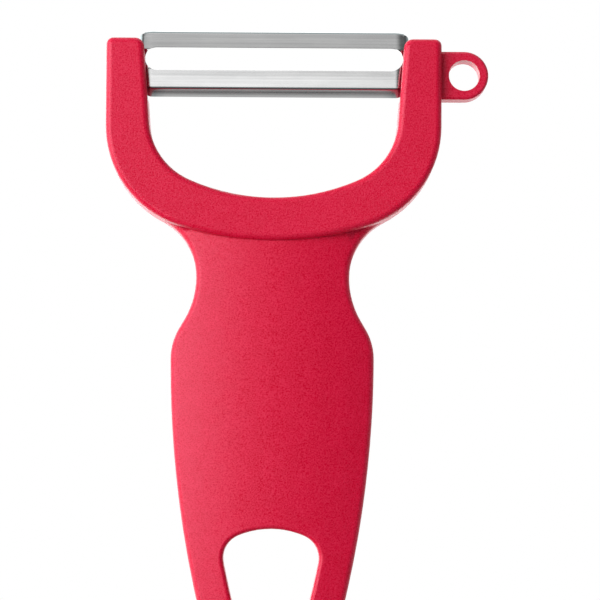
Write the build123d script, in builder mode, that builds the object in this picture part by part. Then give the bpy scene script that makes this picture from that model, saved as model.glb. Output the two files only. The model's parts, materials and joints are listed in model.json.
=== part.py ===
from build123d import *
import os
from math import asin, atan2, cos, degrees, hypot, radians, sin, sqrt, tan

# Vegetable peeler with a swivelling blade, all sizes in millimetres
# X runs across the yoke to the side ring, Y along the handle to the blade, Z out of the front
# The origin lies on the flat back, on the line of symmetry, halfway along the body

# Body as a whole
body_length = 134.0
yoke_half = 32.0
yoke_depth = 9.5
tip_y = body_length / 2
tail_y = -body_length / 2

# Outer line of the yoke: a shallow sole, two round corners and two straight arms
yoke_length = 38.7
sole_y = tip_y - yoke_length
sole_radius = 59.3
corner_radius = 20.0
arch_y = sole_y + sole_radius
corner_x = yoke_half - corner_radius
corner_reach = sole_radius - corner_radius
corner_y = arch_y - sqrt(corner_reach**2 - corner_x**2)
sole_half_angle = degrees(asin(corner_x / corner_reach))
corner_angle = 90 - sole_half_angle

# Mouth between the arms, a little wider at the tips than at the foot
mouth_tip_half = 24.95
mouth_foot_half = 23.2
mouth_length = 30.55
mouth_floor_y = tip_y - mouth_length
mouth_floor_radius = 39.8
mouth_floor_rise = mouth_floor_radius - sqrt(mouth_floor_radius**2 - mouth_foot_half**2)
mouth_foot_y = mouth_floor_y + mouth_floor_rise
mouth_corner_radius = 13.0
tip_outer_round = 1.3
tip_inner_round = 1.7

# Outer line of the handle, from the waist up into the yoke and down to the tail
waist_half = 14.6
flare_radius = 12.5
flare_x = waist_half + flare_radius
flare_reach = corner_radius + flare_radius
waist_y = corner_y - sqrt(flare_reach**2 - (flare_x - corner_x) ** 2)
flare_angle = degrees(atan2(corner_y - waist_y, flare_x - corner_x))
flare_inset = 2.5
hollow_radius = 16.0
hollow_angle = 31.0
slope_length = 1.8
shoulder_radius = 11.0
flank_share = 0.278
tail_radius = 9.4
tail_centre_y = tail_y + tail_radius

# Section of the handle: a flat slab behind, a crowned face in front
back_slab_depth = 3.0
handle_depth = 8.2
crown_radius = 75.0
crown_half_width = 30.0

# Hanging hole
rim_width = 6.5
hole_share = 0.4593
hole_top_y = tail_y + hole_share * (waist_y - tail_y)
hole_arch_radius = 16.0
hole_corner_radius = 4.6

# Rounded front edges of the moulding, and softened back edges
front_edge_round = 1.2
handle_edge_round = 1.4
hole_edge_round = 0.8
back_edge_slope = 0.7
hole_back_slope = 0.5

# Side ring for potato eyes
ring_x = 36.4
ring_drop = 6.75
ring_y = tip_y - ring_drop
ring_radius = 4.6
ring_bore_radius = 2.95
ring_thickness = 5.0
ring_back_z = 2.25
ring_edge_slope = 0.4
ring_root = 2.0

# Swivel axis
pivot_drop = 3.9
pivot_y = tip_y - pivot_drop
pivot_z = 4.4

# Blade, pressed from sheet and measured from the swivel axis
sheet = 0.6
blade_tilt = -6.0
crown_height = 2.3
crown_half = 1.9
slot_half = 2.3
slot_end_x = 24.7
flat_length = 3.9
flat_angle = 20.0
lip_length = 3.2
lip_angle = 72.0
lip_blank_length = 6.0
rail_bend_radius = 1.0
end_bend_radius = 1.3
ear_outer_x = 25.9
ear_start_x = ear_outer_x - end_bend_radius
ear_half_height = 5.6
ear_shoulder_z = 0.95
ear_lobe_radius = 2.7
edge_bevel = 0.4
lip_corner_round = 1.1

# Studs on the arms that carry the blade, and the pockets round the ears
stud_radius = 1.25
stud_clearance = 0.05
ear_side_gap = 0.3
stud_overhang = 0.6
stud_root = 0.3
stud_chamfer = 0.3
pocket_front_z = 7.45
pocket_drop = 7.6
pocket_corner_round = 1.2
ear_hole_radius = stud_radius + stud_clearance
pocket_floor_x = ear_outer_x + ear_side_gap
stud_end_x = ear_outer_x - sheet - stud_overhang

# Working values: how far a cut runs over, and how closely an edge is looked for
cut_overrun = 2.0
near = 0.01

# Yoke seen from the front, with the mouth still filled
with BuildSketch() as yoke_face:
    with BuildLine():
        CenterArc((0, arch_y), sole_radius, -90 - sole_half_angle, 2 * sole_half_angle)
        CenterArc((corner_x, corner_y), corner_radius, -corner_angle, corner_angle)
        CenterArc((-corner_x, corner_y), corner_radius, 180, corner_angle)
        Polyline(
            (yoke_half, corner_y),
            (yoke_half, tip_y),
            (-yoke_half, tip_y),
            (-yoke_half, corner_y),
        )
    make_face()

# Handle seen from the front: its flares run out along the yoke's corners
with BuildSketch() as handle_face:
    with BuildLine():
        flare = JernArc((waist_half, waist_y), (0, 1), flare_radius, -flare_angle)
        flare_end = flare @ 1
        inside = flare_end + Vector(-flare_inset, flare_inset)
        Polyline(flare_end, inside, (0, inside.Y))
        hollow = JernArc((waist_half, waist_y), (0, -1), hollow_radius, hollow_angle)
        slope = Line(hollow @ 1, (hollow @ 1) + slope_length * (hollow % 1))
        shoulder = JernArc(slope @ 1, slope % 1, shoulder_radius, -hollow_angle)
        widest = shoulder @ 1
        flank_reach = flank_share * (waist_y - tail_y)
        taper_drop = widest.Y - flank_reach - tail_centre_y
        flank_turn = atan2(widest.X, taper_drop) - asin(tail_radius / hypot(widest.X, taper_drop))
        flank_radius = flank_reach / tan(flank_turn / 2)
        flank = JernArc(widest, (0, -1), flank_radius, -degrees(flank_turn))
        tail_start = (tail_radius * cos(flank_turn), tail_centre_y - tail_radius * sin(flank_turn))
        taper = Line(flank @ 1, tail_start)
        JernArc(taper @ 1, taper % 1, tail_radius, degrees(flank_turn) - 90)
        mirror(about=Plane.YZ)
    make_face()

# Hanging hole: the handle's sides and tail drawn in by the rim, under an arched top
with BuildSketch() as hole_limit:
    with Locations((0, hole_top_y - hole_arch_radius)):
        Circle(hole_arch_radius)
        Rectangle(2 * hole_arch_radius, body_length, align=(Align.CENTER, Align.MAX))
with BuildSketch() as hole_face:
    with BuildLine():
        inner_start = widest - Vector(rim_width, 0)
        inner_flank = JernArc(inner_start, (0, -1), flank_radius - rim_width, -degrees(flank_turn))
        inner_end = Vector(*tail_start) - rim_width * Vector(cos(flank_turn), -sin(flank_turn))
        inner_taper = Line(inner_flank @ 1, inner_end)
        JernArc(inner_end, inner_taper % 1, tail_radius - rim_width, degrees(flank_turn) - 90)
        Line((0, inner_start.Y), inner_start)
        mirror(about=Plane.YZ)
    make_face()
    add(hole_limit.sketch, mode=Mode.INTERSECT)
    fillet(hole_face.vertices().group_by(Axis.Y)[-1], radius=hole_corner_radius)

# Space in front of the handle's crowned face
crown_half_angle = degrees(asin(crown_half_width / crown_radius))
with BuildPart() as crown_space:
    with BuildSketch(Plane.XZ):
        with BuildLine():
            crown = CenterArc(
                (0, handle_depth - crown_radius),
                crown_radius,
                90 - crown_half_angle,
                2 * crown_half_angle,
            )
            Polyline(
                crown @ 0,
                ((crown @ 0).X, yoke_depth + cut_overrun),
                ((crown @ 1).X, yoke_depth + cut_overrun),
                crown @ 1,
            )
        make_face()
    extrude(amount=body_length, both=True)

# Front half of the handle with its crown and rounded rim
with BuildPart() as handle_front:
    with BuildSketch(Plane.XY.offset(back_slab_depth)):
        add(handle_face.sketch)
    extrude(amount=handle_depth)
    add(crown_space.part, mode=Mode.SUBTRACT)
    rim = handle_front.faces().sort_by(Axis.Z)[-1].edges().sort_by(Axis.Y)[:-1]
    fillet(rim, radius=handle_edge_round)

# One-piece moulded body
with BuildPart() as handle_body:
    with BuildSketch():
        add(yoke_face.sketch)
        add(handle_face.sketch)
    extrude(amount=back_slab_depth)
    with BuildSketch():
        add(yoke_face.sketch)
    extrude(amount=yoke_depth)

    # Mouth
    with BuildSketch() as mouth_face:
        with BuildLine():
            Polyline(
                (mouth_foot_half, mouth_foot_y),
                (mouth_tip_half, tip_y),
                (-mouth_tip_half, tip_y),
                (-mouth_foot_half, mouth_foot_y),
            )
            RadiusArc(
                (mouth_foot_half, mouth_foot_y),
                (-mouth_foot_half, mouth_foot_y),
                mouth_floor_radius,
            )
        make_face()
        fillet(mouth_face.vertices().group_by(Axis.Y)[0], radius=mouth_corner_radius)
    extrude(amount=yoke_depth, mode=Mode.SUBTRACT)

    # Tips of the arms, then the front and back edges all round
    tip_edges = handle_body.edges().filter_by(Axis.Z).group_by(Axis.Y)[-1].sort_by(Axis.X)
    fillet(tip_edges[1:-1], radius=tip_inner_round)
    tip_edges = handle_body.edges().filter_by(Axis.Z).group_by(Axis.Y)[-1].sort_by(Axis.X)
    fillet([tip_edges[0], tip_edges[-1]], radius=tip_outer_round)
    fillet(handle_body.faces().sort_by(Axis.Z)[-1].edges(), radius=front_edge_round)
    chamfer(handle_body.faces().sort_by(Axis.Z)[0].edges(), length=back_edge_slope)
    add(handle_front.part)

    # Hanging hole, its back rim softened and its front rim rounded
    with BuildSketch():
        add(hole_face.sketch)
    extrude(amount=yoke_depth, mode=Mode.SUBTRACT)
    back_face = handle_body.faces().sort_by(Axis.Z)[0]
    chamfer(back_face.inner_wires()[0].edges(), length=hole_back_slope)
    round_faces = handle_body.faces().filter_by(GeomType.CYLINDER)
    crown_face = round_faces.filter_by(lambda face: abs(face.radius - crown_radius) < near)[0]
    fillet(crown_face.inner_wires()[0].edges(), radius=hole_edge_round)

    # Side ring
    with BuildSketch(Plane.XY.offset(ring_back_z)):
        with Locations((ring_x, ring_y)):
            Circle(ring_radius)
            Rectangle(ring_x - yoke_half + ring_root, 2 * ring_radius, align=(Align.MAX, Align.CENTER))
    extrude(amount=ring_thickness)
    ring_edges = handle_body.edges().filter_by_position(Axis.X, yoke_half + near, ring_x + ring_radius)
    chamfer(ring_edges.filter_by(Plane.XY), length=ring_edge_slope)
    with BuildSketch():
        with Locations((ring_x, ring_y)):
            Circle(ring_bore_radius)
    extrude(amount=yoke_depth, mode=Mode.SUBTRACT)

    # Pockets open to the back and the tips, each with the stud that stands in it
    for side in (-1, 1):
        with BuildSketch(Plane.YZ.offset(side * pocket_floor_x)) as pocket_face:
            with Locations((pivot_y - pocket_drop, pocket_front_z)):
                Rectangle(body_length, yoke_depth, align=(Align.MIN, Align.MAX))
            pocket_corner = pocket_face.vertices().group_by(Axis.Y)[-1].sort_by(Axis.X)[0]
            fillet(pocket_corner, radius=pocket_corner_round)
        extrude(amount=side * (mouth_foot_half - cut_overrun - pocket_floor_x), mode=Mode.SUBTRACT)
        with BuildSketch(Plane.YZ.offset(side * stud_end_x)):
            with Locations((pivot_y, pivot_z)):
                Circle(stud_radius)
        extrude(amount=side * (pocket_floor_x + stud_root - stud_end_x))
    stud_faces = handle_body.faces().filter_by(Axis.X)
    stud_ends = stud_faces.filter_by_position(Axis.X, -stud_end_x - near, stud_end_x + near)
    chamfer(stud_ends.edges(), length=stud_chamfer)

# Cross-section of the blade blank: crown, two flats and two deep lips
flat_run = flat_length * cos(radians(flat_angle))
flat_drop = flat_length * sin(radians(flat_angle))
bend_y = crown_half + flat_run
bend_z = crown_height - flat_drop
blank_y = bend_y + lip_blank_length * cos(radians(lip_angle))
blank_z = bend_z - lip_blank_length * sin(radians(lip_angle))
lip_end_z = bend_z - lip_length * sin(radians(lip_angle))
with BuildSketch(Plane.YZ) as channel_face:
    with BuildLine():
        Polyline(
            (0, crown_height),
            (crown_half, crown_height),
            (bend_y, bend_z),
            (blank_y, blank_z),
            (0, blank_z),
        )
        mirror(about=Plane.YZ)
    make_face()
    fillet(channel_face.vertices().group_by(Axis.Y)[1], radius=rail_bend_radius)
    fillet(channel_face.vertices().group_by(Axis.Y)[-1], radius=rail_bend_radius)
with BuildSketch(Plane.YZ) as hollow_face:
    add(channel_face.sketch_local)
    offset(amount=-sheet)

# Outline of an ear: full height at the rails, drawn in to a round lobe at the swivel axis
with BuildSketch(Plane.YZ) as ear_face:
    with BuildLine():
        CenterArc((0, 0), ear_lobe_radius, 0, 360)
        Polyline(
            (-ear_half_height, crown_height),
            (-ear_half_height, ear_shoulder_z),
            (ear_half_height, ear_shoulder_z),
            (ear_half_height, crown_height),
            close=True,
        )
    make_hull()

# Hollow inside the pressed sheet
with BuildPart() as blade_hollow:
    extrude(hollow_face.sketch, amount=ear_outer_x - sheet, both=True)
    end_edges = blade_hollow.faces().filter_by(Axis.X).edges().sort_by(Axis.Z)[2:]
    fillet(end_edges, radius=end_bend_radius - sheet)

# Blade: the sheet with its ends bent back
with BuildPart() as swivel_blade:
    extrude(channel_face.sketch, amount=ear_outer_x, both=True)
    end_edges = swivel_blade.faces().filter_by(Axis.X).edges().sort_by(Axis.Z)[2:]
    fillet(end_edges, radius=end_bend_radius)
    add(blade_hollow.part, mode=Mode.SUBTRACT)

    # Lips cut to length between the ears, then the ears cut to their outline
    with BuildSketch(Plane.XY.offset(lip_end_z)):
        Rectangle(2 * ear_start_x, body_length)
    extrude(amount=-lip_blank_length, mode=Mode.SUBTRACT)
    for side in (-1, 1):
        with BuildSketch(Plane.YZ.offset(side * ear_start_x)):
            Rectangle(body_length, body_length)
            add(ear_face.sketch_local, mode=Mode.SUBTRACT)
        extrude(amount=side * body_length, mode=Mode.SUBTRACT)

    # Slot for the peel, and the swivel holes
    with BuildSketch():
        SlotOverall(2 * slot_end_x, 2 * slot_half)
    extrude(amount=body_length, mode=Mode.SUBTRACT)
    with BuildSketch(Plane.YZ):
        Circle(ear_hole_radius)
    extrude(amount=body_length, both=True, mode=Mode.SUBTRACT)

    # Bevels ground behind the two cutting edges, and rounded lip corners
    slot_edges = swivel_blade.edges().filter_by(Axis.X)
    slot_edges = slot_edges.filter_by(lambda edge: abs(abs(edge.center().Y) - slot_half) < near)
    chamfer(slot_edges.group_by(Axis.Z)[0], length=edge_bevel)
    lip_ends = swivel_blade.edges().filter_by(Axis.Y)
    lip_ends = lip_ends.filter_by_position(Axis.Z, lip_end_z - near, lip_end_z + near)
    fillet(lip_ends, radius=lip_corner_round)

# Blade set on its studs at the resting tilt
blade_set = Pos(0, pivot_y, pivot_z) * Rot(blade_tilt, 0, 0) * swivel_blade.part

handle_body.part.label = "handle_body"
blade_set.label = "swivel_blade"
os.makedirs("parts", exist_ok=True)
export_step(handle_body.part, "parts/handle_body.step")
export_step(blade_set, "parts/swivel_blade.step")
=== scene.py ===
"""Looks of the vegetable peeler: red moulded body, pressed steel blade, plain pale studio."""

import json
import logging
from dataclasses import dataclass, field
from enum import Enum
from math import acos, asin, atan2, cos, hypot, inf, pi, radians, sin, sqrt, tan

import bmesh
import bpy
from mathutils import Euler, Matrix, Vector

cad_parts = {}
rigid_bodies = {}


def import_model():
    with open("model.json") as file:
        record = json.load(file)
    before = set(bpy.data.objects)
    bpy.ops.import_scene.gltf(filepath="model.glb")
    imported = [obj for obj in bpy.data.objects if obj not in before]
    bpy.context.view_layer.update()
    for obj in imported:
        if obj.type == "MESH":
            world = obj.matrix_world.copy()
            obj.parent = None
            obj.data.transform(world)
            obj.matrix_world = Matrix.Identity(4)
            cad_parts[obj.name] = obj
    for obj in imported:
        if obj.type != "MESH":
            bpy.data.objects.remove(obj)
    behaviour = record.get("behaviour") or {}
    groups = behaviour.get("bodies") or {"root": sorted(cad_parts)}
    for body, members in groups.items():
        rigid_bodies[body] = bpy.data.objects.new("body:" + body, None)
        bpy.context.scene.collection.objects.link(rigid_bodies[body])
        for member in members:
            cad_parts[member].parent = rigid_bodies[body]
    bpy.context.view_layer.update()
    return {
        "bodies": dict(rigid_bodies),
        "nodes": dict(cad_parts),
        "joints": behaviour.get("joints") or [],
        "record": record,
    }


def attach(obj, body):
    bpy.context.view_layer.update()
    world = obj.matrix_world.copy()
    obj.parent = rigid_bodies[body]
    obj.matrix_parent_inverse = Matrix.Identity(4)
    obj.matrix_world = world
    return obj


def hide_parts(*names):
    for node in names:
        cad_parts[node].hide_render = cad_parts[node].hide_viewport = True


LOG = logging.getLogger("peeler")
MM = 0.001
WELD = 0.0002 * MM
WHITE = (1.0, 1.0, 1.0, 1.0)
PAINTED_SHADE_NAME = "painted_shade"
MIX_FIRST, MIX_SECOND, MIX_RESULT = 6, 7, 2


class Piece(Enum):
    """The pieces of the peeler, by the names of their nodes in the frame."""

    BODY = "handle_body"
    BLADE = "swivel_blade"


class Shade(Enum):
    """Shader inputs that the finishes set by name."""

    COLOUR = "Base Color"
    METAL = "Metallic"
    ROUGH = "Roughness"
    SPECULAR = "Specular IOR Level"
    SHEEN = "Specular Tint"
    GLOW_COLOUR = "Emission Color"
    GLOW = "Emission Strength"
    NORMAL = "Normal"


class Fold(Enum):
    """Named sizes of the tree that folds the blade's blank."""

    CROWN_HEIGHT = "Crown height"
    CROWN_RUN = "Crown run"
    FLAT_RUN = "Flat run"
    FLAT_ANGLE = "Flat angle"
    LIP_ANGLE = "Lip angle"
    RAIL_BEND = "Rail bend radius"
    LIP_BEND = "Lip bend radius"
    LIP_CURL = "Lip curl radius"
    END_START = "End droop start"
    END_DROOP = "End droop radius"
    DROOP_ANGLE = "End droop angle"
    END_BEND = "End bend radius"


class Tree:
    """A node tree that is filled by short calls."""

    def __init__(self, tree: bpy.types.NodeTree) -> None:
        """Keeps the tree that the calls fill."""
        self.tree = tree

    def add(self, kind: str, **values: object) -> bpy.types.Node:
        """Adds a node and sets its properties.

        Args:
            kind: The node's type name.
            **values: Property names and their values.

        Returns:
            The new node.
        """
        node = self.tree.nodes.new(kind)
        for name, value in values.items():
            setattr(node, name, value)
        return node

    def join(self, start: bpy.types.NodeSocket, end: bpy.types.NodeSocket) -> None:
        """Links one socket to another."""
        self.tree.links.new(start, end)

    def chain(self, start: bpy.types.NodeSocket, kind: str, **values: object) -> bpy.types.Node:
        """Adds a node whose first input takes a socket.

        Args:
            start: The socket that feeds the new node.
            kind: The node's type name.
            **values: Property names and their values.

        Returns:
            The new node.
        """
        node = self.add(kind, **values)
        self.join(start, node.inputs[0])
        return node

    def place(self, scale: tuple[float, float, float]) -> bpy.types.NodeSocket:
        """Gives object coordinates, scaled to a pattern.

        Args:
            scale: How many pattern units there are to the metre along each axis.

        Returns:
            The vector socket of the scaled coordinates.
        """
        mapping = self.chain(self.add("ShaderNodeTexCoord").outputs["Object"], "ShaderNodeMapping")
        mapping.inputs["Scale"].default_value = scale
        return mapping.outputs["Vector"]

    def noise(self, scale: tuple[float, float, float], detail: float, rough: float) -> "Term":
        """Adds noise on object coordinates.

        Args:
            scale: How many noise cells there are to the metre along each axis.
            detail: How many finer layers the noise has.
            rough: How strong the finer layers are.

        Returns:
            The noise's grey value.
        """
        noise = self.chain(self.place(scale), "ShaderNodeTexNoise")
        noise.inputs["Scale"].default_value = 1.0
        noise.inputs["Detail"].default_value = detail
        noise.inputs["Roughness"].default_value = rough
        return Term(self, noise.outputs["Fac"])

    def blend(
        self, share: "Term", first: tuple[float, ...], second: tuple[float, ...]
    ) -> bpy.types.NodeSocket:
        """Mixes two colours.

        Args:
            share: How much of the second colour there is.
            first: The colour at a share of nought.
            second: The colour at a share of one.

        Returns:
            The socket of the mixed colour.
        """
        node = self.add("ShaderNodeMix", data_type="RGBA")
        node.inputs[MIX_FIRST].default_value = (*first, 1)
        node.inputs[MIX_SECOND].default_value = (*second, 1)
        self.join(share.socket, node.inputs[0])
        return node.outputs[MIX_RESULT]

    def bump(self, height: "Term", strength: float, depth: float) -> bpy.types.NodeSocket:
        """Adds a bump.

        Args:
            height: The height over the surface, from nought to one.
            strength: How much of the bump shows.
            depth: The height of a full step in metres.

        Returns:
            The socket of the bumped normal.
        """
        bump = self.add("ShaderNodeBump")
        bump.inputs["Strength"].default_value = strength
        bump.inputs["Distance"].default_value = depth
        self.join(height.socket, bump.inputs["Height"])
        return bump.outputs["Normal"]


@dataclass(frozen=True)
class Term:
    """A number that nodes work out, written as plain arithmetic."""

    tree: Tree
    socket: bpy.types.NodeSocket

    def work(self, operation: str, *others: "Term | float") -> "Term":
        """Puts this number and others through one operation.

        Args:
            operation: The math node's operation.
            *others: The other operands, numbers or terms.

        Returns:
            The result.
        """
        node = self.tree.add("ShaderNodeMath", operation=operation)
        for slot, value in zip(node.inputs, (self, *others)):
            if isinstance(value, Term):
                self.tree.join(value.socket, slot)
            else:
                slot.default_value = value
        return Term(self.tree, node.outputs[0])

    def __add__(self, other: "Term | float") -> "Term":
        """Adds."""
        return self.work("ADD", other)

    def __sub__(self, other: "Term | float") -> "Term":
        """Subtracts."""
        return self.work("SUBTRACT", other)

    def __mul__(self, other: "Term | float") -> "Term":
        """Multiplies."""
        return self.work("MULTIPLY", other)

    def __truediv__(self, other: "Term | float") -> "Term":
        """Divides."""
        return self.work("DIVIDE", other)

    def sine(self) -> "Term":
        """Gives the sine."""
        return self.work("SINE")

    def cosine(self) -> "Term":
        """Gives the cosine."""
        return self.work("COSINE")

    def held(self, low: "Term | float", high: "Term | float") -> "Term":
        """Keeps the number between two limits."""
        return self.work("MAXIMUM", low).work("MINIMUM", high)

    def spread(self, low: float, high: float, to_low: float, to_high: float) -> "Term":
        """Maps one range to another and stops at its ends.

        Args:
            low: Start of the range that comes in.
            high: End of the range that comes in.
            to_low: What the start becomes.
            to_high: What the end becomes.

        Returns:
            The mapped number.
        """
        node = self.tree.chain(
            self.socket, "ShaderNodeMapRange", clamp=True, interpolation_type="SMOOTHSTEP"
        )
        for name, number in (("From Min", low), ("From Max", high), ("To Min", to_low), ("To Max", to_high)):
            node.inputs[name].default_value = number
        return Term(self.tree, node.outputs["Result"])


def new_finish(name: str) -> tuple[bpy.types.Material, Tree, bpy.types.Node]:
    """Starts a material.

    Args:
        name: The material's name.

    Returns:
        The material, its tree and its main shader node.
    """
    material = bpy.data.materials.new(name)
    material.use_nodes = True
    return material, Tree(material.node_tree), material.node_tree.nodes["Principled BSDF"]


@dataclass(frozen=True)
class MouldedPlastic:
    """Red plastic from a spark-eroded mould: fine matt grain, faint clouds, soft sheen."""

    dark: tuple[float, float, float] = (0.635, 0.0016, 0.0300)
    light: tuple[float, float, float] = (0.775, 0.0070, 0.0560)
    grain: float = 3700.0
    grain_layers: tuple[float, float] = (2.0, 0.6)
    grain_span: tuple[float, float] = (0.30, 0.70)
    cloud: float = 260.0
    cloud_layers: tuple[float, float] = (3.0, 0.55)
    cloud_span: tuple[float, float] = (0.35, 0.65)
    cloud_share: float = 0.15
    roughness: tuple[float, float] = (0.24, 0.52)
    specular: tuple[float, float] = (0.21, 0.61)
    sheen: tuple[float, float, float] = (1.0, 0.80, 0.96)
    grain_depth: float = 0.10 * MM
    grain_bump: float = 0.5

    def build(self) -> bpy.types.Material:
        """Builds the material.

        Returns:
            The plastic's material.
        """
        material, tree, shader = new_finish("moulded_plastic")
        grain = tree.noise((self.grain,) * 3, *self.grain_layers)
        cloud = tree.noise((self.cloud,) * 3, *self.cloud_layers)
        fleck = grain.spread(*self.grain_span, 0.0, 1.0 - self.cloud_share)
        fleck = fleck + cloud.spread(*self.cloud_span, 0.0, self.cloud_share)
        tree.join(tree.blend(fleck, self.dark, self.light), shader.inputs[Shade.COLOUR.value])
        for shade, limits in ((Shade.ROUGH, self.roughness), (Shade.SPECULAR, self.specular)):
            tree.join(grain.spread(*self.grain_span, *limits).socket, shader.inputs[shade.value])
        shader.inputs[Shade.SHEEN.value].default_value = (*self.sheen, 1.0)
        tree.join(tree.bump(grain, self.grain_bump, self.grain_depth), shader.inputs[Shade.NORMAL.value])
        return material


@dataclass(frozen=True)
class PressedSteel:
    """Cold-rolled stainless sheet with fine rolling lines along the blade."""

    tint: tuple[float, float, float] = (0.70, 0.702, 0.70)
    shade: tuple[float, float, float] = (0.55, 0.552, 0.555)
    # Painted shade: a darker, cooler steel colour laid on the bends so that the red body shows less in their
    # reflection.
    painted_bend_shade: tuple[float, float, float] = (0.24, 0.29, 0.295)
    lines: tuple[float, float, float] = (60.0, 9000.0, 9000.0)
    line_layers: tuple[float, float] = (3.0, 0.6)
    line_share: float = 0.25
    bands: tuple[float, float, float] = (25.0, 2400.0, 2400.0)
    band_layers: tuple[float, float] = (2.0, 0.5)
    band_share: float = 0.55
    span: tuple[float, float] = (0.3, 0.7)
    stains: tuple[float, float, float] = (180.0, 420.0, 420.0)
    stain_layers: tuple[float, float] = (2.0, 0.5)
    stain_share: float = 0.2
    stain_span: tuple[float, float] = (0.35, 0.65)
    # Share of the painted shade mask at which the painted shade is full.
    full_painted_shade: float = 0.7
    gloss: tuple[float, float] = (0.13, 0.20)
    line_depth: float = 0.006 * MM
    line_bump: float = 0.25

    def build(self) -> bpy.types.Material:
        """Builds the material.

        Returns:
            The steel's material.
        """
        material, tree, shader = new_finish("blade_steel")
        lines = tree.noise(self.lines, *self.line_layers)
        bands = tree.noise(self.bands, *self.band_layers)
        stain = tree.noise(self.stains, *self.stain_layers)
        share = lines.spread(*self.span, 0.0, self.line_share)
        share = share + bands.spread(*self.span, 0.0, self.band_share)
        share = share + stain.spread(*self.stain_span, 0.0, self.stain_share)
        # Painted shade: the mask stored by the fold tree darkens the steel at its bends and at the lips' end
        # corners.
        painted_shade = Term(tree, tree.add("ShaderNodeAttribute", attribute_name=PAINTED_SHADE_NAME).outputs["Fac"])
        sheet = tree.blend(share, self.shade, self.tint)
        bent = tree.blend(painted_shade.spread(0.0, self.full_painted_shade, 0.0, 1.0), self.shade, self.painted_bend_shade)
        tree.join(sheet, bent.node.inputs[MIX_FIRST])
        tree.join(bent, shader.inputs[Shade.COLOUR.value])
        shader.inputs[Shade.METAL.value].default_value = 1.0
        tree.join(lines.spread(*self.span, *self.gloss).socket, shader.inputs[Shade.ROUGH.value])
        tree.join(tree.bump(lines, self.line_bump, self.line_depth), shader.inputs[Shade.NORMAL.value])
        return material


@dataclass(frozen=True)
class PaleFloor:
    """White floor, lit from within as on a light table."""

    glow: float = 1.0

    def build(self) -> bpy.types.Material:
        """Builds the material.

        Returns:
            The floor's material.
        """
        material, _, shader = new_finish("pale_floor")
        shader.inputs[Shade.COLOUR.value].default_value = (0.0, 0.0, 0.0, 1.0)
        shader.inputs[Shade.ROUGH.value].default_value = 1.0
        shader.inputs[Shade.SPECULAR.value].default_value = 0.0
        shader.inputs[Shade.GLOW_COLOUR.value].default_value = WHITE
        shader.inputs[Shade.GLOW.value].default_value = self.glow
        return material


@dataclass
class Body:
    """One-piece moulding of handle, yoke, side ring and studs, shaded smoothly over its sharp edges."""

    piece: Piece = Piece.BODY
    soft_edge: float = 0.02 * MM
    root_fillet: float = 0.2 * MM
    root_limit: float = radians(50)
    step_half: float = 16 * MM
    step_start: float = 26 * MM
    step_end: float = 33 * MM
    step_low: float = 6.8 * MM
    steps: int = 3
    profile: float = 0.5
    flat_limit: float = radians(0.05)
    sharp_limit: float = radians(28)

    def at_step(self, edge: bmesh.types.BMEdge) -> bool:
        """Tells whether an edge lies at the root of the step from the handle up to the yoke."""
        x, y, z = (edge.verts[0].co + edge.verts[1].co) / 2
        return abs(x) < self.step_half and self.step_start < y < self.step_end and z > self.step_low

    def ease(self, shape: bmesh.types.BMesh, edges: list[bmesh.types.BMEdge], size: float) -> None:
        """Rounds edges, or fills them with a small fillet where they are hollow.

        The narrowest face beside any of the edges sets how far the rounding of all of them reaches.

        Args:
            shape: The mesh that is worked on.
            edges: Its edges that are rounded.
            size: How far the rounding reaches from the edge, at most.
        """
        bmesh.ops.bevel(
            shape,
            geom=edges,
            offset=size,
            offset_type="OFFSET",
            segments=self.steps,
            profile=self.profile,
            affect="EDGES",
            clamp_overlap=True,
            loop_slide=True,
        )

    def softened(self, source: bpy.types.Mesh) -> bpy.types.Mesh:
        """Copies the solid's mesh, fills the root of its step and makes its sharp edges shade smoothly.

        Args:
            source: The mesh of the solid.

        Returns:
            The softened mesh.
        """
        shape = bmesh.new()
        shape.from_mesh(source)
        bmesh.ops.remove_doubles(shape, verts=shape.verts, dist=WELD)
        bmesh.ops.dissolve_limit(
            shape,
            angle_limit=self.flat_limit,
            verts=shape.verts,
            edges=shape.edges,
            delimit={"NORMAL"},
        )
        solid = [edge for edge in shape.edges if edge.is_manifold]
        hollow = [edge for edge in solid if edge.calc_face_angle_signed() < -self.root_limit]
        self.ease(shape, [edge for edge in hollow if self.at_step(edge)], self.root_fillet)
        solid = [edge for edge in shape.edges if edge.is_manifold]
        sharp = [edge for edge in solid if edge.calc_face_angle_signed() > self.sharp_limit]
        self.ease(shape, sharp, self.soft_edge)
        mesh = bpy.data.meshes.new(source.name)
        shape.to_mesh(mesh)
        shape.free()
        return mesh

    def build(self, frame: dict, finish: bpy.types.Material) -> bpy.types.Object:
        """Builds the body and sets it in the frame.

        Args:
            frame: The loaded frame.
            finish: The plastic's material.

        Returns:
            The body's object.
        """
        mesh = self.softened(frame["nodes"][self.piece.value].data)
        mesh.materials.append(finish)
        mesh.shade_smooth()
        mesh.set_sharp_from_angle(angle=self.sharp_limit)
        body = bpy.data.objects.new("moulded_body", mesh)
        bpy.context.scene.collection.objects.link(body)
        even = body.modifiers.new("even_normals", "WEIGHTED_NORMAL")
        even.keep_sharp = True
        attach(body, "body")
        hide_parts(self.piece.value)
        return body


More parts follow.
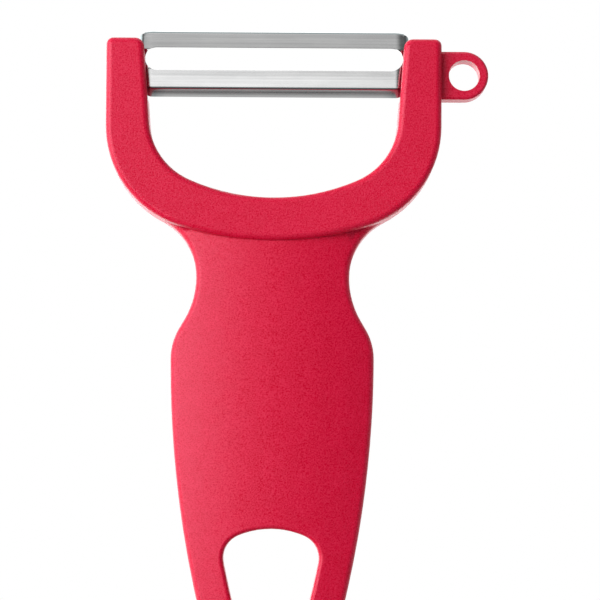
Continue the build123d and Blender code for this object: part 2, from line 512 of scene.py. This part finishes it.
@dataclass
class Blade:
    """Pressed blade: a flat blank with its slot and holes, folded to a channel with two ears."""

    piece: Piece = Piece.BLADE
    ear_outer: float = 25.9 * MM
    sheet: float = 0.6 * MM
    crown_height: float = 2.3 * MM
    crown_half: float = 1.9 * MM
    flat_length: float = 3.87 * MM
    flat_angle: float = radians(20)
    lip_length: float = 3.2 * MM
    lip_angle: float = radians(72)
    lip_bow: float = radians(10)
    rail_bend: float = 1.0 * MM
    lip_bend: float = 0.7 * MM
    end_bend: float = 1.3 * MM
    end_droop: float = 6.5 * MM
    droop_angle: float = radians(15)
    # Painted shade on the ears' bends and on the lips' end corners, dimming the red body's reflection there.
    end_painted_shade: float = 0.6
    corner_painted_shade: float = 0.42
    painted_corner_start: float = 21.2 * MM
    painted_corner_run: float = 1.6 * MM
    slot_half: float = 2.3 * MM
    slot_end: float = 24.7 * MM
    ground_width: float = 1.1 * MM
    ground_depth: float = 0.035 * MM
    bevel: float = 0.4 * MM
    lip_corner: float = 1.1 * MM
    lip_end: float = 24.6 * MM
    lip_end_slope: float = 6.0
    ear_half: float = 5.6 * MM
    ear_shoulder: float = 0.95 * MM
    ear_lobe: float = 2.7 * MM
    hole_radius: float = 1.3 * MM
    edge_ease: float = 0.07 * MM
    tilt: float = radians(-6)
    rows: int = 56
    row_power: float = 1.15
    slot_steps: int = 10
    round_steps: int = 18
    neck_steps: int = 14
    lobe_steps: int = 12
    # How far an ear's bend turns before its painted shade is full.
    painted_shade_turn: float = pi / 4
    sharp_limit: float = radians(35)

    def __post_init__(self) -> None:
        """Works out the runs of the section and the places on the blank."""
        self.lip_start = self.lip_angle - self.lip_bow / 2
        crown_cut = self.rail_bend * tan(self.flat_angle / 2)
        lip_turn = self.lip_start - self.flat_angle
        rail_cut = self.lip_bend * tan(lip_turn / 2)
        self.crown_run = self.crown_half - crown_cut
        self.flat_run = self.flat_length - crown_cut - rail_cut
        self.lip_run = self.lip_length - rail_cut
        bends = self.rail_bend * self.flat_angle + self.lip_bend * lip_turn
        self.half_width = self.crown_run + self.flat_run + self.lip_run + bends
        droop_reach = (self.end_droop - self.end_bend) * sin(self.droop_angle)
        self.droop_start = self.ear_outer - self.end_bend - droop_reach
        self.bend_start = self.droop_start + self.end_droop * self.droop_angle
        self.ear_top = self.bend_start + self.end_bend * (pi / 2 - self.droop_angle)
        self.hole_place = self.ear_top + self.crown_height - self.depth(self.ear_top)
        self.ear_end = self.hole_place + self.ear_lobe

    def depth(self, along: float) -> float:
        """Gives how far the end of the blank is folded back at a place along it.

        Args:
            along: Distance from the middle of the blank.

        Returns:
            The depth under the rail's face.
        """
        droop = min(max((along - self.droop_start) / self.end_droop, 0.0), self.droop_angle)
        turn = min(max((along - self.bend_start) / self.end_bend, 0.0) + self.droop_angle, pi / 2)
        bent = self.end_bend * (cos(self.droop_angle) - cos(turn))
        return self.end_droop * (1 - cos(droop)) + bent + max(along - self.ear_top, 0.0)

    def inner_edge(self, along: float) -> float:
        """Gives the half width of the slot or the swivel hole on the blank.

        Args:
            along: Distance from the middle of the blank.

        Returns:
            The half width, or nought where the blank is whole.
        """
        if along < self.slot_end:
            past = max(along - (self.slot_end - self.slot_half), 0.0)
            half = sqrt(max(self.slot_half**2 - past**2, 0.0))
            return half + max(half - self.crown_half, 0.0) * (1 / cos(self.flat_angle) - 1)
        return sqrt(max(self.hole_radius**2 - (along - self.hole_place) ** 2, 0.0))

    def outer_edge(self, along: float) -> float:
        """Gives the half width of the blank: full at the lips, drawn in to a round lobe at the ears.

        Args:
            along: Distance from the middle of the blank.

        Returns:
            The half width.
        """
        corner = min(max(along - self.lip_end + self.lip_corner, 0.0), self.lip_corner)
        lip = self.half_width - self.lip_corner + sqrt(self.lip_corner**2 - corner**2)
        if along <= self.lip_end:
            return lip
        reach = hypot(self.ear_half, self.ear_shoulder)
        touch = atan2(self.ear_shoulder, self.ear_half) - acos(self.ear_lobe / reach)
        touch_y, touch_z = self.ear_lobe * cos(touch), self.ear_lobe * sin(touch)
        slope = (self.ear_half - touch_y) / (self.ear_shoulder - touch_z)
        depth = self.depth(along)
        if self.crown_height - depth < touch_z:
            return sqrt(max(self.ear_lobe**2 - (along - self.hole_place) ** 2, 0.0))
        rise = self.ear_half - slope * (self.ear_shoulder - self.crown_height) - self.crown_half
        fall = (slope * cos(self.flat_angle) - sin(self.flat_angle)) * depth
        side = self.crown_half + (rise - fall) / (cos(self.flat_angle) + slope * sin(self.flat_angle))
        return max(lip - self.lip_end_slope * (along - self.lip_end), side)

    def columns(self) -> list[float]:
        """Gives the places along half the blank where its mesh has a row of points.

        Returns:
            The distances from the middle, in rising order.
        """
        straight = self.slot_end - self.slot_half
        hole_start = self.hole_place - self.hole_radius
        lobe_turn = asin(self.hole_radius / self.ear_lobe)
        slot, rounds, neck, lobe = self.slot_steps, self.round_steps, self.neck_steps, self.lobe_steps
        places = [straight * step / slot for step in range(slot)]
        places += [straight + self.slot_half * sin(pi / 2 * step / rounds) for step in range(rounds)]
        places += [self.slot_end + (hole_start - self.slot_end) * step / neck for step in range(neck)]
        places += [self.hole_place - self.hole_radius * cos(pi * step / rounds) for step in range(rounds)]
        turns = [lobe_turn + (pi / 2 - lobe_turn) * step / lobe for step in range(lobe + 1)]
        return places + [self.hole_place + self.ear_lobe * sin(turn) for turn in turns]

    def ring(self, along: float) -> list[tuple[float, float]]:
        """Gives one cut across half the blank: front face, outer edge, back face.

        Args:
            along: Distance from the middle of the blank.

        Returns:
            Pairs of a distance from the blank's axis and a height, from the front's inner edge round.
        """
        start, end = self.inner_edge(along), self.outer_edge(along)
        ease = min(self.edge_ease, end / 2)
        past = max(along - (self.slot_end - self.slot_half), 0.0)
        shares = [(step / self.rows) ** self.row_power for step in range(self.rows + 1)]
        front, back = [], []
        for share in shares:
            across = start + (end - ease - start) * share
            gap = max(hypot(past, across) - self.slot_half, 0.0) if along < self.hole_place else inf
            ground = self.ground_depth * max(1 - gap / self.ground_width, 0.0)
            front.append((across, -ground))
            back.append((across, -self.sheet + max(self.bevel - gap, 0.0)))
        return front + [(end, -ease), (end, ease - self.sheet)] + back[::-1]

    def blank(self) -> bpy.types.Mesh:
        """Cuts the flat blank: closed sheet with slot, swivel holes and ground cutting edges.

        Returns:
            The blank's mesh, its front face on the ground plane.
        """
        places = self.columns()
        places = [-along for along in reversed(places[1:])] + places
        shape = bmesh.new()
        for side in (1, -1):
            last: list[bmesh.types.BMVert] = []
            last_open = False
            for along in places:
                points = [(along, side * across, height) for across, height in self.ring(abs(along))]
                cut = [shape.verts.new(point) for point in points]
                is_open = self.inner_edge(abs(along)) > WELD
                if last:
                    count = len(cut)
                    ends = range(count if is_open or last_open else count - 1)
                    for step in ends:
                        after = (step + 1) % count
                        quad = (last[step], cut[step], cut[after], last[after])
                        shape.faces.new(quad if side > 0 else quad[::-1])
                last, last_open = cut, is_open
        bmesh.ops.remove_doubles(shape, verts=shape.verts, dist=WELD)
        bmesh.ops.dissolve_degenerate(shape, edges=shape.edges, dist=WELD)
        mesh = bpy.data.meshes.new("blank")
        shape.to_mesh(mesh)
        shape.free()
        return mesh

    def fold_tree(self) -> bpy.types.NodeTree:
        """Builds the tree that folds a blank: rails and lips along it, ears at its ends.

        Returns:
            The geometry node tree, with a named input for each size.
        """
        group = bpy.data.node_groups.new("fold_blank", "GeometryNodeTree")
        group.interface.new_socket("Blank", in_out="INPUT", socket_type="NodeSocketGeometry")
        for size in Fold:
            group.interface.new_socket(size.value, in_out="INPUT", socket_type="NodeSocketFloat")
        group.interface.new_socket("Finish", in_out="INPUT", socket_type="NodeSocketMaterial")
        group.interface.new_socket("Blade", in_out="OUTPUT", socket_type="NodeSocketGeometry")
        tree = Tree(group)
        entry = tree.add("NodeGroupInput")
        size = {item: Term(tree, entry.outputs[item.value]) for item in Fold}
        split = tree.chain(tree.add("GeometryNodeInputPosition").outputs[0], "ShaderNodeSeparateXYZ")
        along, across, height = (Term(tree, socket) for socket in split.outputs)
        run, away = along.work("ABSOLUTE"), across.work("ABSOLUTE")
        bend, fold = size[Fold.RAIL_BEND], size[Fold.LIP_BEND]
        flat, lip = size[Fold.FLAT_ANGLE], size[Fold.LIP_ANGLE]

        crown = away.work("MINIMUM", size[Fold.CROWN_RUN])
        rest = away - size[Fold.CROWN_RUN]
        crown_turn = (rest / bend).held(0.0, flat)
        rest = rest - bend * flat
        rail = rest.held(0.0, size[Fold.FLAT_RUN])
        rest = rest - size[Fold.FLAT_RUN]
        rail_turn = (rest / fold + flat).held(flat, lip)
        rest = (rest - fold * (lip - flat)).work("MAXIMUM", 0.0)
        lip_turn = rest / size[Fold.LIP_CURL] + lip

        out = crown + bend * crown_turn.sine() + rail * flat.cosine()
        out = out + fold * (rail_turn.sine() - flat.sine())
        out = out + size[Fold.LIP_CURL] * (lip_turn.sine() - lip.sine())
        down = bend * (crown_turn.cosine() - 1.0) - rail * flat.sine()
        down = down + fold * (rail_turn.cosine() - flat.cosine())
        down = down + size[Fold.LIP_CURL] * (lip_turn.cosine() - lip.cosine())
        lean = crown_turn + rail_turn - flat + lip_turn - lip

        droop, hook, sag = size[Fold.END_DROOP], size[Fold.END_BEND], size[Fold.DROOP_ANGLE]
        past = run - size[Fold.END_START]
        droop_turn = (past / droop).held(0.0, sag)
        past = past - droop * sag
        hook_turn = (past / hook + sag).held(sag, pi / 2)
        beyond = (past - hook * (sag * -1.0 + pi / 2)).work("MAXIMUM", 0.0)
        end_turn = droop_turn + hook_turn - sag
        back = droop - droop * droop_turn.cosine() + hook * (sag.cosine() - hook_turn.cosine()) + beyond
        inward = height * end_turn.cosine() - back
        reach = run.work("MINIMUM", size[Fold.END_START]) + droop * droop_turn.sine()
        reach = reach + hook * (hook_turn.sine() - sag.sine()) + height * end_turn.sine()

        folded = tree.add("ShaderNodeCombineXYZ")
        tree.join((reach * along.work("SIGN")).socket, folded.inputs[0])
        tree.join(((out + inward * lean.sine()) * across.work("SIGN")).socket, folded.inputs[1])
        tree.join((size[Fold.CROWN_HEIGHT] + down + inward * lean.cosine()).socket, folded.inputs[2])
        # Painted shade on the bend from rail to lip: the product of both shares of a bend peaks at a quarter
        # in its middle.
        painted_shade = (rail_turn - flat) * (lip - rail_turn) / ((lip - flat) * (lip - flat)) * 4.0
        # Painted shade also on the ears' bends and, near the lip ends, on the lips' corners.
        painted_shade = painted_shade.work("MAXIMUM", (end_turn / self.painted_shade_turn).held(0.0, 1.0) * self.end_painted_shade)
        corner = ((run - self.painted_corner_start) / self.painted_corner_run).held(0.0, 1.0)
        corner = (rail_turn - flat) / (lip - flat) * corner
        painted_shade = painted_shade.work("MAXIMUM", corner * self.corner_painted_shade)
        # The painted shade mask goes to the steel's colour as a named attribute.
        marked = tree.chain(entry.outputs["Blank"], "GeometryNodeStoreNamedAttribute", data_type="FLOAT")
        marked.inputs["Name"].default_value = PAINTED_SHADE_NAME
        tree.join(painted_shade.socket, marked.inputs["Value"])
        moved = tree.chain(marked.outputs[0], "GeometryNodeSetPosition")
        tree.join(folded.outputs[0], moved.inputs["Position"])
        whole = tree.chain(moved.outputs[0], "GeometryNodeRealizeInstances")
        dressed = tree.chain(whole.outputs[0], "GeometryNodeSetMaterial")
        tree.join(entry.outputs["Finish"], dressed.inputs["Material"])
        tree.chain(dressed.outputs[0], "NodeGroupOutput")
        return group

    def folded(self, finish: bpy.types.Material) -> bpy.types.Mesh:
        """Folds the blank.

        Args:
            finish: The steel's material.

        Returns:
            The folded blade's mesh, measured from its swivel axis.
        """
        blank = bpy.data.objects.new("blank", self.blank())
        bpy.context.scene.collection.objects.link(blank)
        group = self.fold_tree()
        fold = blank.modifiers.new("fold", "NODES")
        fold.node_group = group
        values = {
            Fold.CROWN_HEIGHT.value: self.crown_height,
            Fold.CROWN_RUN.value: self.crown_run,
            Fold.FLAT_RUN.value: self.flat_run,
            Fold.FLAT_ANGLE.value: self.flat_angle,
            Fold.LIP_ANGLE.value: self.lip_start,
            Fold.RAIL_BEND.value: self.rail_bend,
            Fold.LIP_BEND.value: self.lip_bend,
            Fold.LIP_CURL.value: self.lip_run / self.lip_bow,
            Fold.END_START.value: self.droop_start,
            Fold.END_DROOP.value: self.end_droop,
            Fold.DROOP_ANGLE.value: self.droop_angle,
            Fold.END_BEND.value: self.end_bend,
            "Finish": finish,
        }
        for item in group.interface.items_tree:
            if item.name in values:
                fold[item.identifier] = values[item.name]
        graph = bpy.context.evaluated_depsgraph_get()
        mesh = bpy.data.meshes.new_from_object(blank.evaluated_get(graph))
        bpy.data.objects.remove(blank)
        return mesh

    def build(self, frame: dict, finish: bpy.types.Material) -> bpy.types.Object:
        """Builds the blade and sets it on its swivel axis.

        Args:
            frame: The loaded frame.
            finish: The steel's material.

        Returns:
            The blade's object.
        """
        mesh = self.folded(finish)
        axis = Matrix.Translation(frame["joints"][0]["pos_m"])
        mesh.transform(axis @ Matrix.Rotation(self.tilt, 4, "X"))
        mesh.shade_smooth()
        mesh.set_sharp_from_angle(angle=self.sharp_limit)
        blade = bpy.data.objects.new("pressed_blade", mesh)
        bpy.context.scene.collection.objects.link(blade)
        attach(blade, "blade")
        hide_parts(self.piece.value)
        return blade


@dataclass
class Camera:
    """The photograph's view: nearly straight down on the face, from a little below."""

    focus: Vector = field(default_factory=lambda: Vector((0.0, 0.0168, 0.0095)))
    distance: float = 0.577
    tilt: float = radians(4.5)
    roll: float = radians(0.358)
    field_width: float = 0.11357
    side_shift: float = 0.0052
    sensor: float = 36.0
    near: float = 0.01
    far: float = 10.0

    def place(self) -> bpy.types.Object:
        """Makes the camera and gives it to the scene.

        Returns:
            The camera object.
        """
        data = bpy.data.cameras.new("camera")
        data.sensor_width = self.sensor
        data.lens = self.sensor * self.distance / self.field_width
        data.shift_x = self.side_shift / self.field_width
        data.clip_start = self.near
        data.clip_end = self.far
        camera = bpy.data.objects.new("camera", data)
        turn = Euler((self.tilt, 0, 0)).to_matrix() @ Euler((0, 0, self.roll)).to_matrix()
        camera.matrix_world = turn.to_4x4()
        camera.location = self.focus + self.distance * Vector((0, -sin(self.tilt), cos(self.tilt)))
        bpy.context.scene.collection.objects.link(camera)
        bpy.context.scene.camera = camera
        return camera


@dataclass(frozen=True)
class Softbox:
    """One soft lamp."""

    name: str
    place: tuple[float, float, float]
    size: tuple[float, float]
    power: float

    def hang(self, target: Vector) -> bpy.types.Object:
        """Hangs the lamp, turned to the peeler.

        Args:
            target: The point that the lamp faces.

        Returns:
            The lamp object.
        """
        data = bpy.data.lights.new(self.name, "AREA")
        data.shape = "RECTANGLE"
        data.size, data.size_y = self.size
        data.energy = self.power
        lamp = bpy.data.objects.new(self.name, data)
        lamp.location = self.place
        lamp.rotation_euler = (target - Vector(self.place)).to_track_quat("-Z", "Y").to_euler()
        bpy.context.scene.collection.objects.link(lamp)
        return lamp


@dataclass(frozen=True)
class Card:
    """A bright card in the room, seen as a soft patch in the steel."""

    lean_y: float
    lean_x: float
    inner: float
    outer: float
    level: float

    def glow(self, tree: Tree, ways: tuple[Term, Term, Term]) -> Term:
        """Adds the card's light to the room.

        Args:
            tree: The room's tree.
            ways: The three parts of the direction that is looked in.

        Returns:
            The card's brightness in that direction.
        """
        aim = Vector((sin(self.lean_x), sin(self.lean_y), cos(self.lean_y) * cos(self.lean_x))).normalized()
        facing = ways[0] * aim.x + ways[1] * aim.y + ways[2] * aim.z
        return facing.spread(cos(self.outer), cos(self.inner), 0.0, self.level)


@dataclass
class Studio:
    """Floor, lamps and surroundings."""

    floor_size: float = 3.0
    floor_drop: float = 0.2 * MM
    target: Vector = field(default_factory=lambda: Vector((0, 0.02, 0)))
    lamps: tuple[Softbox, ...] = (
        Softbox("key_left", (-0.52, 0.12, 0.52), (0.5, 0.7), 6.0),
        Softbox("top_box", (-0.10, 0.30, 0.66), (0.30, 0.30), 0.35),
    )
    cards: tuple[Card, ...] = (
        Card(radians(-21.5), radians(-4.5), radians(4), radians(14), 1.34),
        Card(radians(61), radians(-12), radians(4), radians(30), 0.59),
        Card(radians(112), 0.0, radians(28), radians(50), 0.85),
        Card(radians(-46), 0.0, radians(8), radians(28), 0.28),
        Card(0.0, radians(-120), radians(33), radians(56), 2.3),
        Card(0.0, radians(120), radians(35), radians(60), 0.35),
    )
    low_room: tuple[tuple[float, float], ...] = (
        (-1.0, 1.70),
        (-0.93, 1.40),
        (-0.84, 1.20),
        (-0.77, 0.72),
        (-0.64, 0.66),
        (-0.58, 0.45),
        (-0.545, 0.30),
        (-0.50, 0.03),
        (-0.44, 0.42),
        (-0.36, 0.48),
        (-0.22, 0.08),
        (0.0, 0.10),
        (0.30, 0.14),
        (1.0, 0.10),
    )

    def floor(self) -> bpy.types.Object:
        """Lays the floor under the peeler.

        Returns:
            The floor object.
        """
        half = self.floor_size / 2
        mesh = bpy.data.meshes.new("floor")
        corners = [(-half, -half), (half, -half), (half, half), (-half, half)]
        mesh.from_pydata([(x, y, -self.floor_drop) for x, y in corners], [], [(0, 1, 2, 3)])
        floor = bpy.data.objects.new("floor", mesh)
        bpy.context.scene.collection.objects.link(floor)
        mesh.materials.append(PaleFloor().build())
        floor.visible_glossy = False
        return floor

    def surroundings(self) -> None:
        """Lights the room: dim above, banded towards the floor, with a card for each rail of the blade."""
        world = bpy.data.worlds.new("room")
        bpy.context.scene.world = world
        world.use_nodes = True
        tree = Tree(world.node_tree)
        split = tree.chain(tree.add("ShaderNodeTexCoord").outputs["Generated"], "ShaderNodeSeparateXYZ")
        ways = tuple(Term(tree, socket) for socket in split.outputs)
        (low, start), (high, end), *others = self.low_room
        total = ways[2].spread(low, high, start, end)
        for place, level in others:
            total = total + ways[2].spread(high, place, 0.0, level - end)
            high, end = place, level
        for card in self.cards:
            total = total + card.glow(tree, ways)
        tree.join(total.socket, world.node_tree.nodes["Background"].inputs["Color"])

    def build(self) -> None:
        """Builds the studio."""
        self.floor()
        for lamp in self.lamps:
            lamp.hang(self.target)
        self.surroundings()
        view = bpy.context.scene.view_settings
        view.view_transform = "Standard"
        view.look = "None"


def main() -> None:
    """Builds the peeler's looks and its studio, piece by piece."""
    logging.basicConfig(level=logging.INFO, format="%(name)s: %(message)s")
    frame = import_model()
    Camera().place()
    body = Body().build(frame, MouldedPlastic().build())
    blade = Blade().build(frame, PressedSteel().build())
    for piece in (body, blade):
        LOG.info("%s: %d points, %d faces", piece.name, len(piece.data.vertices), len(piece.data.polygons))
    Studio().build()


if __name__ == "__main__":
    main()
